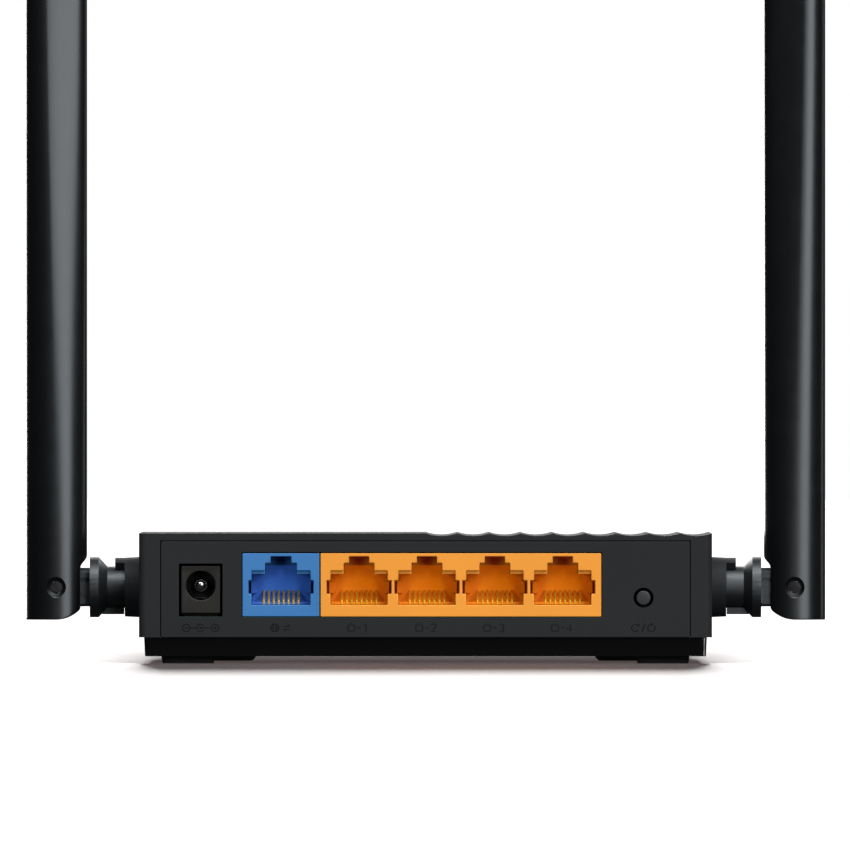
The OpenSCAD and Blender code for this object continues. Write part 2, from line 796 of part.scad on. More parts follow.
module swivel(side) {
    color([0.07, 0.07, 0.075]) at_side(side)
    difference() {
        union() {
            rod_x(neck_r, -wall - barb_gap, cone_start + 0.1);
            rod_x(barb_r - 0.9, swivel_end, -wall - barb_gap, barb_r);
            rod_x(neck_r, cone_start, collar_start, collar_r);
            rod_x(collar_r, collar_start, collar_end);
            span([key_start, -key_half_w, -key_r], [key_end, key_half_w, 0]);
            tongue();
        }
        rod_x(lead_bore_r, swivel_end - 1, pin_out - lead_turn + lead_bore_r);
        translate([pin_out - lead_turn, 0, 0]) cylinder(r = lead_bore_r, h = tongue_r + 1);
        translate([pin_out, 0, 0]) rod_y(pin_r + fit_gap, -tongue_half_t - 1, tongue_half_t + 1);
        // slits that let the snap legs flex
        for (a = [0, 90]) rotate([a, 0, 0])
            span([swivel_end - 1, -0.6, -barb_r - 1], [barrel_len / 2, 0.6, barb_r + 1]);
    }
}

// ---------------------------------------------------------------- antennas

// Half thickness of the blade at share t of its length and distance u out from the pin.
// Near the hinge the section is close to an ellipse. Towards the tip its crest moves outwards and
// its inner half flattens into a long slope.
function blend(t) = t * t * (3 - 2 * t);
function crest(t) = 0.34 * blade_half_w * blend(t);
function half_t(t) = blade_half_t + (tip_half_t - blade_half_t) * blend(t);
function round_side(s) = pow(max(0, 1 - pow(s, 2.3)), 1 / 2.3);
function slope_side(s) = (1 - 0.5 * pow(s, 1.25)) * sqrt(max(0, 1 - pow(s, 14)));
function section_height(t, u, half_w) =
    let (c = crest(t),
         s = u > c ? (u - c) / (half_w - c) : (c - u) / (half_w + c))
    u > c ? round_side(s) : (1 - blend(t)) * round_side(s) + blend(t) * slope_side(s);

// One closed section of the blade, as points at height z
function section(t, z, inset) =
    let (half_w = blade_half_w - inset, thick = half_t(t) - inset)
    [for (i = [0:section_points - 1])
        let (a = 360 * i / section_points,
             u = half_w * cos(a),
             v = thick * section_height(t, u, half_w))
        [u, (sin(a) < 0 ? -1 : 1) * max(v, i % (section_points / 2) == 0 ? 0 : 0.02), z]];

// Loft through sections between two heights
module blade_loft(z0, z1, inset) {
    n = len(section_zs);
    rings = [for (share = section_zs)
        let (z = z0 + (z1 - z0) * share) section((z - blade_bottom) / blade_len, z, inset)];
    points = [for (ring = rings) for (p = ring) p];
    m = section_points;
    faces = concat(
        [[for (k = [0:m - 1]) k]],
        [for (i = [0:n - 2]) for (k = [0:m - 1]) let (q = (k + 1) % m)
            for (f = [[i * m + q, i * m + k, (i + 1) * m + k],
                      [i * m + q, (i + 1) * m + k, (i + 1) * m + q]]) f],
        [[for (k = [m - 1:-1:0]) (n - 1) * m + k]]);
    polyhedron(points, faces, convexity = 4);
}

// Outline of the blade seen along the hinge pin
module blade_outline() {
    r = -blade_bottom;
    start = acos(relief_x / r);
    polygon(concat(
        [[blade_half_w + 1, blade_bottom], [blade_half_w + 1, blade_top + 1],
         [-blade_half_w - 1, blade_top + 1], [-blade_half_w - 1, relief_high + 1],
         [-blade_half_w, relief_high], [relief_x, relief_low]],
        [for (i = [0:8]) let (a = -start + (start - 90) * i / 8) r * [cos(a), sin(a)]]));
}

// One half of the blade: side -1 is the half towards the ports, 1 the half towards the front
module antenna_shell(side, half) {
    color([0.06, 0.06, 0.065]) at_hinge(side)
    difference() {
        intersection() {
            blade_loft(blade_bottom, blade_top, 0);
            rotate([90, 0, 0]) linear_extrude(20, center = true) blade_outline();
            span([-9, half < 0 ? -9 : 0, -9], [9, half < 0 ? 0 : 9, blade_top + 1]);
        }
        difference() {
            blade_loft(cavity_floor, blade_top - 2, blade_wall);
            // ribs that grip the radiator
            for (z = rib_zs)
                span([radiator_x[0] - 0.4, -9, z - 0.6], [radiator_x[1] + 0.4, 9, z + 0.6]);
        }
        span([radiator_x[0] - 0.1, -radiator_half_t, cavity_floor + 1],
             [radiator_x[1] + 0.1, radiator_half_t, rib_zs[1] + 2]);
        span([-9, -slot_half_t, -9], [slot_x, slot_half_t, slot_z]);
        translate([-lead_turn, 0, 0]) cylinder(r = lead_bore_r, h = cavity_floor + 1);
        rod_y(pin_r + 0.02, -9, 9);
        for (s = [-1, 1]) scale([1, s, 1])
            translate([0, pin_half_len - 0.1, 0]) rotate([-90, 0, 0])
                cylinder(r1 = pin_r + 0.15, r2 = pin_recess_r + 0.1, h = 1.1);
    }
}

module hinge_pin(side) {
    color([0.1, 0.1, 0.1]) at_hinge(side) rod_y(pin_r, -pin_half_len, pin_half_len);
}

// Printed dipole strip inside the blade
module radiator(side) {
    color([0.75, 0.6, 0.3]) at_hinge(side)
        span([radiator_x[0], -radiator_half_t, radiator_z[0]],
             [radiator_x[1], radiator_half_t, radiator_z[1]]);
}

// Stretch of the lead from the swivel's inner end, past the hinge pin, to the radiator
module antenna_lead(side) {
    x = pin_out - lead_turn;
    route = [[lead_joint, 0, 0], [2, 0, 0], [8, 0, 0], [x - 1.8, 0, 0], [x - 0.6, 0, 0.4], [x, 0, 1.6],
             [x, 0, 4], [x, 0, 9], [pin_out - 2, 0, 16], [pin_out - 0.5, 0, 22],
             [pin_out, 0, radiator_z[0] - 0.05]];
    color([0.15, 0.15, 0.15]) at_side(side) lead(smooth_path(route), lead_r);
}

// Stretch of the lead from its socket on the board to the swivel's inner end
module board_lead(side) {
    x = connector_at[0] + connector_r + 1.05;
    y = connector_at[1];
    route = [[lead_joint - 0.05, 0, 0], [-6, 0, -0.2], [-8.5, 0.6, -1.6], [-11, 1.4, -3.6],
             [-13.5, y, lead_low], [x, y, lead_low]];
    color([0.15, 0.15, 0.15]) at_side(side) lead(smooth_path(route), lead_r);
}

module antenna_connectors() {
    color([0.85, 0.7, 0.3]) for (side = [-1, 1]) at_side(side)
        translate([connector_at[0], connector_at[1], board_top - axis_z]) {
            cylinder(r = connector_r, h = connector_h);
            span([0, -0.9, 0.3], [connector_r + 1, 0.9, 1.9]);
        }
}

// ---------------------------------------------------------------- nodes

top_cover();
port_panel();
bottom_case();
rear_feet();
front_feet();
bottom_label();
case_screws();
main_board();
board_screws();
wan_jack_housing();
wan_jack_insert();
wan_jack_contacts();
lan_jack_housing();
lan_jack_inserts();
lan_jack_contacts();
power_jack_body();
power_jack_pin();
power_jack_spring();
switch_body();
switch_bracket();
switch_dome();
wps_reset_button();
light_pipe();
status_leds();
antenna_connectors();
processor_chip();
thermal_pad();
heat_sink();
radio_chip();
shield_can();
memory_chips();
network_transformers();
electrolytic_capacitors();
power_inductors();
crystals();
small_chip_parts();
swivel(-1);  // left_swivel
antenna_shell(-1, -1);  // left_antenna_rear_shell
antenna_shell(-1, 1);  // left_antenna_front_shell
hinge_pin(-1);  // left_hinge_pin
radiator(-1);  // left_radiator
antenna_lead(-1);  // left_antenna_lead
board_lead(-1);  // left_board_lead
swivel(1);  // right_swivel
antenna_shell(1, -1);  // right_antenna_rear_shell
antenna_shell(1, 1);  // right_antenna_front_shell
hinge_pin(1);  // right_hinge_pin
radiator(1);  // right_radiator
antenna_lead(1);  // right_antenna_lead
board_lead(1);  // right_board_lead
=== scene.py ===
# Looks of a desktop wireless router with two swivel antennas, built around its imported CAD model.
import json
import math

import bmesh
import bpy
import numpy as np
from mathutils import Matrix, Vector

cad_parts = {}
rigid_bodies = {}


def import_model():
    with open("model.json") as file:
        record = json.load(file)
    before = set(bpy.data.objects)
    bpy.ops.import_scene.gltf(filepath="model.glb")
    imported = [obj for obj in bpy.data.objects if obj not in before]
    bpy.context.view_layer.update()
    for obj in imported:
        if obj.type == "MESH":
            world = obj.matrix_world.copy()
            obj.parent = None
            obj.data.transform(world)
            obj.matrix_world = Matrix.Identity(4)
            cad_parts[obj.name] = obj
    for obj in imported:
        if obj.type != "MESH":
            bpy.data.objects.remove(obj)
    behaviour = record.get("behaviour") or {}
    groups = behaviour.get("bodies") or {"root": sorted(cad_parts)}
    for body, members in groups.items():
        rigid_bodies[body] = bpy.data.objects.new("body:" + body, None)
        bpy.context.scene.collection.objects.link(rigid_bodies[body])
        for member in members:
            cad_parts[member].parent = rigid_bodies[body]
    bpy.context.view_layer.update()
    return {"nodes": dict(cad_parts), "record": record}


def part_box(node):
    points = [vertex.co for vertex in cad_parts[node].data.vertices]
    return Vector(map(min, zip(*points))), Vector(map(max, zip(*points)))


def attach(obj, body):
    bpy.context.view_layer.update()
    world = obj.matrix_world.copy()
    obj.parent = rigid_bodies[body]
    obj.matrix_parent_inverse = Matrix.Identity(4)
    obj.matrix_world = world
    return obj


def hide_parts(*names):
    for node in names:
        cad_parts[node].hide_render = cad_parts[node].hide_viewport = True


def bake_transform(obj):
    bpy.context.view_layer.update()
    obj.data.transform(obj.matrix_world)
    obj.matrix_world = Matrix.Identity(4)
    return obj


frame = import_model()

MM = 0.001
SIDES = {"left": -1, "right": 1}
NODES = frame["nodes"]
MOUNTS = {m["name"]: m for m in frame["record"]["mounts"]}


# ---------------------------------------------------------------- places from the frame

def centre(node):
    """Middle of a CAD node's box."""
    low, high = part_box(node)
    return (low + high) / 2


panel_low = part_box("port_panel")[0]
rear_face = panel_low.y


# ---------------------------------------------------------------- mesh helpers

def mesh_object(name, verts, faces):
    """New object from points in metres and faces, with its normals turned outwards."""
    mesh = bpy.data.meshes.new(name)
    mesh.from_pydata([tuple(v) for v in verts], [], faces)
    bm = bmesh.new()
    bm.from_mesh(mesh)
    bmesh.ops.recalc_face_normals(bm, faces=bm.faces)
    bm.to_mesh(mesh)
    bm.free()
    obj = bpy.data.objects.new(name, mesh)
    bpy.context.scene.collection.objects.link(obj)
    return obj


def loft(name, rings):
    """Closed loft through rings of equally many points, capped at both ends."""
    n = len(rings[0])
    verts = [p for ring in rings for p in ring]
    faces = [list(range(n))[::-1], [(len(rings) - 1) * n + k for k in range(n)]]
    for i in range(len(rings) - 1):
        for k in range(n):
            q = (k + 1) % n
            faces.append([i * n + k, i * n + q, (i + 1) * n + q, (i + 1) * n + k])
    return mesh_object(name, verts, faces)


def frame_along(direction, side):
    """Two unit vectors square to a direction, the first one near side."""
    t = direction.normalized()
    u = (side - side.dot(t) * t).normalized()
    return u, t.cross(u)


def sweep(name, path, half_w, half_t, side, sides):
    """Elliptical wire along a path. half_w is its half width along side, half_t the other way."""
    rings = []
    for i, p in enumerate(path):
        along = path[min(i + 1, len(path) - 1)] - path[max(i - 1, 0)]
        u, v = frame_along(along, side)
        rings.append([p + half_w * math.cos(a) * u + half_t * math.sin(a) * v
                      for a in (2 * math.pi * k / sides for k in range(sides))])
    return loft(name, rings)


def smooth_path(points, steps):
    """Catmull-Rom curve through given points, in steps between each two."""
    p = [Vector(q) for q in points]
    last = len(p) - 1
    out = []
    for i in range(last):
        a, b, c, d = p[max(i - 1, 0)], p[i], p[i + 1], p[min(i + 2, last)]
        for k in range(steps):
            t = k / steps
            out.append(0.5 * (2 * b + (c - a) * t + (2 * a - 5 * b + 4 * c - d) * t ** 2
                              + (3 * b - a - 3 * c + d) * t ** 3))
    return out + [p[last]]


def lathe(name, profile, at, segments):
    """Solid of revolution about +Y through a point. The profile lists (radius, y) in millimetres."""
    rings = []
    for r, y in profile:
        ring = []
        for k in range(segments):
            a = 2 * math.pi * k / segments
            ring.append(at + MM * Vector((r * math.cos(a), y, r * math.sin(a))))
        rings.append(ring)
    return loft(name, rings)


def arc(centre_at, r, a0, a1, steps):
    """Points on an arc, angles in degrees."""
    out = []
    for i in range(steps + 1):
        a = math.radians(a0 + (a1 - a0) * i / steps)
        out.append((centre_at[0] + r * math.cos(a), centre_at[1] + r * math.sin(a)))
    return out


def join(name, objects):
    """Joins objects into one mesh."""
    bm = bmesh.new()
    for o in objects:
        bm.from_mesh(o.data)
        bpy.data.objects.remove(o)
    mesh = bpy.data.meshes.new(name)
    bm.to_mesh(mesh)
    bm.free()
    obj = bpy.data.objects.new(name, mesh)
    bpy.context.scene.collection.objects.link(obj)
    return obj


def block(name, low, high):
    """Cutter with flat faces between two corners."""
    (x0, y0, z0), (x1, y1, z1) = low, high
    corners = ((x0, y0), (x1, y0), (x1, y1), (x0, y1))
    return loft(name, [[Vector((x, y, z)) for x, y in corners] for z in (z0, z1)])


def cut(obj, cutters):
    """Subtracts the cutters from the object's mesh."""
    for c in cutters:
        m = obj.modifiers.new("cut", "BOOLEAN")
        m.operation = "DIFFERENCE"
        m.solver = "EXACT"
        m.object = c
    bpy.context.view_layer.update()
    result = bpy.data.meshes.new_from_object(obj.evaluated_get(bpy.context.evaluated_depsgraph_get()))
    obj.modifiers.clear()
    obj.data = result
    for c in cutters:
        bpy.data.objects.remove(c)


# ---------------------------------------------------------------- modifiers

WELD_DISTANCE = 0.001 * MM
SHARP_ANGLE = 32       # edges that bend more stay sharp in shading, in degrees
BEVEL_ANGLE = 30       # edges that bend more are rounded
BEVEL_SEGMENTS = 3


def node_tree(name):
    """Empty geometry node group with its input and output."""
    tree = bpy.data.node_groups.new(name, "GeometryNodeTree")
    tree.interface.new_socket("Geometry", in_out="INPUT", socket_type="NodeSocketGeometry")
    tree.interface.new_socket("Geometry", in_out="OUTPUT", socket_type="NodeSocketGeometry")
    return tree, tree.nodes.new("NodeGroupInput"), tree.nodes.new("NodeGroupOutput")


def weld_nodes():
    """Welds split vertices and drops the imported shading normals."""
    tree, start, end = node_tree("weld")
    merge = tree.nodes.new("GeometryNodeMergeByDistance")
    merge.inputs["Distance"].default_value = WELD_DISTANCE
    drop = tree.nodes.new("GeometryNodeRemoveAttribute")
    drop.inputs["Name"].default_value = "custom_normal"
    tree.links.new(start.outputs[0], merge.inputs["Geometry"])
    tree.links.new(merge.outputs[0], drop.inputs["Geometry"])
    tree.links.new(drop.outputs[0], end.inputs[0])
    return tree


def smooth_nodes(angle):
    """Smooth shading, with edges sharper than an angle kept sharp."""
    tree, start, end = node_tree(f"smooth_{angle}")
    faces = tree.nodes.new("GeometryNodeSetShadeSmooth")
    faces.domain = "FACE"
    edges = tree.nodes.new("GeometryNodeSetShadeSmooth")
    edges.domain = "EDGE"
    edges.inputs["Shade Smooth"].default_value = False
    bend = tree.nodes.new("GeometryNodeInputMeshEdgeAngle")
    sharp = tree.nodes.new("FunctionNodeCompare")
    sharp.data_type = "FLOAT"
    sharp.operation = "GREATER_THAN"
    sharp.inputs[1].default_value = math.radians(angle)
    tree.links.new(bend.outputs["Unsigned Angle"], sharp.inputs[0])
    tree.links.new(sharp.outputs[0], edges.inputs["Selection"])
    tree.links.new(start.outputs[0], faces.inputs["Geometry"])
    tree.links.new(faces.outputs[0], edges.inputs["Geometry"])
    tree.links.new(edges.outputs[0], end.inputs[0])
    return tree


WELD = weld_nodes()
SMOOTH = smooth_nodes(SHARP_ANGLE)


def smooth(obj):
    """Smooth shading with flat faces kept flat."""
    obj.modifiers.new("smooth", "NODES").node_group = SMOOTH
    even = obj.modifiers.new("even_normals", "WEIGHTED_NORMAL")
    even.keep_sharp = True


def round_edges(obj, width_mm, clamp):
    """Rounds a mesh's sharp edges. A clamped width stops where roundings would meet."""
    bevel = obj.modifiers.new("round_edges", "BEVEL")
    bevel.width = width_mm * MM
    bevel.segments = BEVEL_SEGMENTS
    bevel.limit_method = "ANGLE"
    bevel.angle_limit = math.radians(BEVEL_ANGLE)
    bevel.use_clamp_overlap = clamp
    bevel.miter_outer = "MITER_ARC"


def dress(node, material, width_mm):
    """Gives a CAD node rounded edges, smooth shading and its material."""
    obj = NODES[node]
    obj.modifiers.new("weld", "NODES").node_group = WELD
    if width_mm:
        round_edges(obj, width_mm, node in CLAMPED)
    smooth(obj)
    for slot in obj.material_slots:
        slot.material = material


def piece(obj, body, material, slot, *nodes):
    """Finishes a Blender piece: material, body and the CAD nodes it stands for. slot is not used."""
    obj.data.materials.clear()
    obj.data.materials.append(material)
    if body:
        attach(obj, body)
    if nodes:
        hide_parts(*nodes)


# ---------------------------------------------------------------- materials

NOISE_MIDDLE = (0.3, 0.7)      # most of a noise texture's values lie between these
PATCH_MM = 14                  # size of a moulding's faint patches
GLOSS_MM = 3.5                 # size of its glossier and duller spots
TRACK_MM = 6                   # brick size of the board's copper tracks


class Surface:
    """Node material around one Principled shader, in object coordinates."""

    def __init__(self, name, color, roughness, **values):
        self.mat = bpy.data.materials.new(name)
        self.mat.use_nodes = True
        self.tree = self.mat.node_tree
        self.shader = self.tree.nodes["Principled BSDF"]
        self.color = color
        self.shader.inputs["Base Color"].default_value = (*color, 1)
        self.shader.inputs["Roughness"].default_value = roughness
        for key, value in values.items():
            self.shader.inputs[key.replace("_", " ")].default_value = value
        self.coords = self.tree.nodes.new("ShaderNodeTexCoord").outputs["Object"]

    def link(self, source, socket):
        self.tree.links.new(source, socket)

    def noise(self, size_mm, detail, stretch=None):
        """Noise with features of about a size. stretch scales the coordinates along each axis."""
        node = self.tree.nodes.new("ShaderNodeTexNoise")
        node.inputs["Scale"].default_value = 1 / (size_mm * MM)
        node.inputs["Detail"].default_value = detail
        coords = self.coords
        if stretch:
            mapping = self.tree.nodes.new("ShaderNodeMapping")
            mapping.inputs["Scale"].default_value = stretch
            self.link(coords, mapping.inputs["Vector"])
            coords = mapping.outputs[0]
        self.link(coords, node.inputs["Vector"])
        return node.outputs["Fac"]

    def spread(self, fac, out_low=0.0, out_high=1.0):
        """Spreads the middle of a noise over a range."""
        node = self.tree.nodes.new("ShaderNodeMapRange")
        for key, value in zip(("From Min", "From Max"), NOISE_MIDDLE):
            node.inputs[key].default_value = value
        node.inputs["To Min"].default_value = out_low
        node.inputs["To Max"].default_value = out_high
        self.link(fac, node.inputs["Value"])
        return node.outputs[0]

    def tint(self, fac, other):
        """Mixes the colour so far with another where fac is 1."""
        mix = self.tree.nodes.new("ShaderNodeMix")
        mix.data_type = "RGBA"
        socket = self.shader.inputs["Base Color"]
        if socket.is_linked:
            self.link(socket.links[0].from_socket, mix.inputs["A"])
        else:
            mix.inputs["A"].default_value = (*self.color, 1)
        mix.inputs["B"].default_value = (*other, 1)
        self.link(fac, mix.inputs["Factor"])
        self.link(mix.outputs["Result"], socket)

    def shades(self, size_mm, amount, stretch=None):
        """Patches lighter by a share of the colour, or darker where the share is negative."""
        fac = self.spread(self.noise(size_mm, 4, stretch))
        self.tint(fac, [c * (1 + amount) for c in self.color])

    def rough(self, size_mm, low, high, stretch=None):
        """Roughness that wanders between two values."""
        self.link(self.spread(self.noise(size_mm, 4, stretch), low, high), self.shader.inputs["Roughness"])

    def bump(self, fac, depth_mm):
        """Relief of a depth, on top of any relief so far."""
        node = self.tree.nodes.new("ShaderNodeBump")
        node.inputs["Distance"].default_value = depth_mm * MM
        node.inputs["Strength"].default_value = 1.0
        self.link(fac, node.inputs["Height"])
        socket = self.shader.inputs["Normal"]
        if socket.is_linked:
            self.link(socket.links[0].from_socket, node.inputs["Normal"])
        self.link(node.outputs[0], socket)


def moulded(name, color, roughness, grain_mm, grain_depth, patches=0.18, spread=0.05, **values):
    """Moulded plastic: fine spark-eroded grain, faint patches and uneven gloss."""
    s = Surface(name, color, roughness, **values)
    s.shades(PATCH_MM, patches)
    s.rough(GLOSS_MM, roughness - spread, roughness + spread)
    s.bump(s.noise(grain_mm, detail=2), grain_depth)
    return s.mat


def metal(name, color, roughness, stretch=(1, 1, 1), metallic=1.0):
    """Plated or drawn metal with fine lines along one direction."""
    s = Surface(name, color, roughness, Metallic=metallic)
    s.shades(size_mm=2.0, amount=-0.25, stretch=stretch)
    s.rough(size_mm=0.5, low=roughness - 0.06, high=roughness + 0.1, stretch=stretch)
    s.bump(s.noise(size_mm=0.12, detail=3, stretch=stretch), depth_mm=0.002)
    return s.mat


def board_material():
    """Green solder mask over copper tracks."""
    s = Surface("board_green", (0.008, 0.075, 0.026), 0.35)
    tracks = s.tree.nodes.new("ShaderNodeTexBrick")
    tracks.inputs["Scale"].default_value = 1 / (TRACK_MM * MM)
    tracks.inputs["Mortar Size"].default_value = 0.03
    s.link(s.coords, tracks.inputs["Vector"])
    s.tint(tracks.outputs["Fac"], (0.02, 0.14, 0.05))
    s.bump(tracks.outputs["Fac"], depth_mm=0.03)
    s.rough(size_mm=5, low=0.28, high=0.42)
    return s.mat


def label_material():
    """Blank satin film."""
    s = Surface("label_film", (0.55, 0.55, 0.54), 0.45)
    s.shades(size_mm=9, amount=0.06)
    s.bump(s.noise(size_mm=1.2, detail=2), depth_mm=0.004)
    return s.mat


COOL_TINT = (0.88, 0.95, 1.0, 1)       # the antennas' and swivels' gloss

# moulded(): colour, roughness, grain size and depth, share of the patches, spread of the roughness
M = {
    "cover": moulded("cover_plastic", (0.0135, 0.0150, 0.0165), 0.62, 0.22, 0.016, 0.06, 0.03,
                     Specular_IOR_Level=0.2),
    "base": moulded("base_plastic", (0.0020, 0.0020, 0.0022), 0.14, 0.3, 0.001, spread=0.02),
    "swivel": moulded("swivel_plastic", (0.0034, 0.0037, 0.0042), 0.48, 0.25, 0.004, 0.1, 0.02,
                      Specular_Tint=COOL_TINT),
    "antenna": moulded("antenna_plastic", (0.0012, 0.0013, 0.0014), 0.30, 0.22, 0.003, 0.1, 0.015,
                       Specular_Tint=COOL_TINT),
    "foot": moulded("foot_rubber", (0.004, 0.004, 0.004), 0.75, 0.5, 0.02),
    "blue": moulded("wan_blue", (0.036, 0.153, 0.376), 0.5, 0.3, 0.006, 0.08, Specular_IOR_Level=0.35),
    # The WAN insert is its housing's blue plastic made brighter and more saturated: painted bounce light for
    # the light reflected round inside the jack.
    "blue_insert_with_painted_bounce": moulded("wan_insert_blue", (0.050, 0.172, 0.64), 0.45, 0.3, 0.006, 0.1,
                           Specular_IOR_Level=0.3),
    "orange": moulded("lan_orange", (0.72, 0.275, 0.031), 0.5, 0.3, 0.006, 0.05, Specular_IOR_Level=0.35),
    # The LAN inserts are their housing's orange plastic made brighter and more saturated: painted bounce
    # light for the light reflected round inside the jacks.
    "orange_insert_with_painted_bounce": moulded("lan_insert_orange", (0.90, 0.26, 0.0035), 0.45, 0.3, 0.006, 0.08,
                             Specular_IOR_Level=0.25),
    "jack": moulded("jack_black", (0.0110, 0.0104, 0.0096), 0.55, 0.45, 0.02, 0.4, Specular_IOR_Level=0.3),
    "button": moulded("button_grey", (0.023, 0.0245, 0.0255), 0.4, 0.25, 0.004),
    "mark": moulded("mark_ink", (0.0025, 0.0030, 0.0035), 0.6, 0.2, 0.003, Specular_IOR_Level=0.2),
    "chip": moulded("chip_black", (0.012, 0.012, 0.013), 0.5, 0.3, 0.01),
    "sleeve": moulded("capacitor_sleeve", (0.02, 0.02, 0.07), 0.3, 0.6, 0.004),
    "ferrite": moulded("inductor_grey", (0.05, 0.05, 0.05), 0.6, 0.4, 0.02),
    "ceramic": moulded("chip_part_tan", (0.33, 0.21, 0.12), 0.5, 0.3, 0.005),
    "pad": moulded("thermal_pad_grey", (0.33, 0.38, 0.47), 0.8, 0.5, 0.02),
    "led": moulded("led_white", (0.8, 0.8, 0.66), 0.3, 0.4, 0.003),
    "pipe": moulded("light_pipe_clear", (0.9, 0.92, 0.95), 0.15, 0.6, 0.002, 0.03,
                    IOR=1.49, Transmission_Weight=0.85),
    "jacket": moulded("lead_black", (0.013, 0.013, 0.013), 0.5, 0.3, 0.006),
    "strip": moulded("radiator_board", (0.28, 0.18, 0.05), 0.5, 0.5, 0.01),
    "gold": metal("gold_contact", (0.90, 0.56, 0.025), 0.42, (1, 0.15, 0.15), 0.3),
    "plated": metal("plated_metal", (0.70, 0.70, 0.68), 0.22),
    "inlet_pin": metal("inlet_pin_metal", (0.48, 0.48, 0.47), 0.2),
    "screw": metal("screw_steel", (0.42, 0.42, 0.43), 0.35),
    "pin": metal("pin_steel", (0.025, 0.025, 0.027), 0.5),
    "aluminium": metal("heat_sink_aluminium", (0.62, 0.62, 0.64), 0.35, (1, 0.1, 1)),
    "board": board_material(),
    "label": label_material(),
}

# CAD nodes that stay: material, and rounding of the edges in millimetres
DRESSED = {
    "top_cover": ("cover", 0.16), "port_panel": ("cover", 0.14), "bottom_case": ("base", 0.13),
    "rear_feet": ("foot", 0.15), "front_feet": ("foot", 0.12), "bottom_label": ("label", 0.0),
    "case_screws": ("screw", 0.08), "main_board": ("board", 0.06), "board_screws": ("screw", 0.08),
    "wan_jack_housing": ("blue", 0.16), "wan_jack_insert": ("blue_insert_with_painted_bounce", 0.08),
    "lan_jack_housing": ("orange", 0.16), "lan_jack_inserts": ("orange_insert_with_painted_bounce", 0.08),
    "power_jack_body": ("jack", 0.22), "power_jack_spring": ("pin", 0.05),
    "switch_body": ("jack", 0.1), "switch_bracket": ("plated", 0.06), "switch_dome": ("plated", 0.05),
    "light_pipe": ("pipe", 0.08), "status_leds": ("led", 0.08), "antenna_connectors": ("gold", 0.08),
    "processor_chip": ("chip", 0.06), "thermal_pad": ("pad", 0.06), "heat_sink": ("aluminium", 0.08),
    "radio_chip": ("chip", 0.06), "shield_can": ("plated", 0.05), "memory_chips": ("chip", 0.06),
    "network_transformers": ("chip", 0.15), "electrolytic_capacitors": ("sleeve", 0.3),
    "power_inductors": ("ferrite", 0.2), "crystals": ("plated", 0.15), "small_chip_parts": ("ceramic", 0.04),
}
CLAMPED = ("left_swivel", "right_swivel", "top_cover")     # their roundings would meet or overshoot
for side in SIDES:
    DRESSED[f"{side}_swivel"] = ("swivel", 0.14)
    DRESSED[f"{side}_hinge_pin"] = ("pin", 0.10)
    DRESSED[f"{side}_radiator"] = ("strip", 0.0)
    DRESSED[f"{side}_board_lead"] = ("jacket", 0.0)
for node, (key, width) in DRESSED.items():
    dress(node, M[key], width)


# ---------------------------------------------------------------- antenna blades

# Sizes in millimetres, measured from the hinge pin of the right blade: u outwards, v across, z up
shell_low, shell_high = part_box("right_antenna_rear_shell")
pin_at = centre("right_hinge_pin")
HALF_W = (shell_high.x - shell_low.x) / 2 / MM
HALF_T = (pin_at.y - shell_low.y) / MM
TIP_HALF_T = 3.4
Z_LOW = (shell_low.z - pin_at.z) / MM
Z_HIGH = (shell_high.z - pin_at.z) / MM
CREST = 0.34           # how far the crest moves outwards by the tip, as a share of the half width
ROUND_POWER = 2.3      # of the superellipse at the hinge
SLOPE_DROP = 0.5       # share of the thickness that the long slope loses
SLOPE_POWER = 1.25
SLOPE_END_POWER = 14   # how crisply the slope ends at the inner edge
AXIS_U = 2.5           # line inside the blade that its sections are measured from
MAX_REACH = 12.0       # more than any part of the surface is away from that line
RELIEF_U = -4.97       # inner edge beside the swivel's tongue
RELIEF_Z = 4.5         # where the chamfer above it starts
RELIEF_SLOPE = 0.89
RELIEF_BLEND = 0.5     # how softly the outline's lines run into each other
FOOT_BLEND = 0.4
FOOT_ROUND = 0.25
TIP_ROUND = 1.2
FOOT_ZONE = 0.3        # the lowest and highest rings stand close together over these heights
TIP_ZONE = 1.3
SLOT = (4.35, 3.3, 4.4)        # outer end, half thickness and top of the tongue's slot
SHELL_WALL = 1.4
HOLLOW_FOOT = 2.5      # solid height above RELIEF_Z
HOLLOW_TIP = 2         # solid height below the tip
SEAM_DEPTH = 0.16      # groove where the two shells meet
SEAM_HALF = 0.12
SEAM_STEPS = 8         # points across the flat face at the seam
PIN_FACE = 4.7         # how far the hinge pin's face stands from its middle
PIN_BORE_R = 1.22
PIN_HEAD_R = 1.32
LIP_R = 2.02           # recess around the pin's face, with a rounded lip
LIP_DEPTH = 0.62
LIP_ROUND = 0.30
RECESS_END = 7.0       # past the blade's surface
LEAD_BORE_R = 1.15
LEAD_BORE_U = -3
OUTSIDE = 9            # past the blade's outline
# Directions of the section's points near its two seams, in radians
OUTER_SEAM_ANGLES = (0, 0.012, 0.026, 0.042, 0.07, 0.11)
INNER_SEAM_ANGLES = (0, 0.006, 0.012, 0.019, 0.032, 0.055)


def smooth_min(a, b, k):
    """Lesser of two values, blended where they differ by less than k."""
    h = np.clip(k - np.abs(a - b), 0, None) / k
    return np.minimum(a, b) - h * h * k / 4


def smooth_max(a, b, k):
    """Greater of two values, blended where they differ by less than k."""
    return -smooth_min(-a, -b, k)


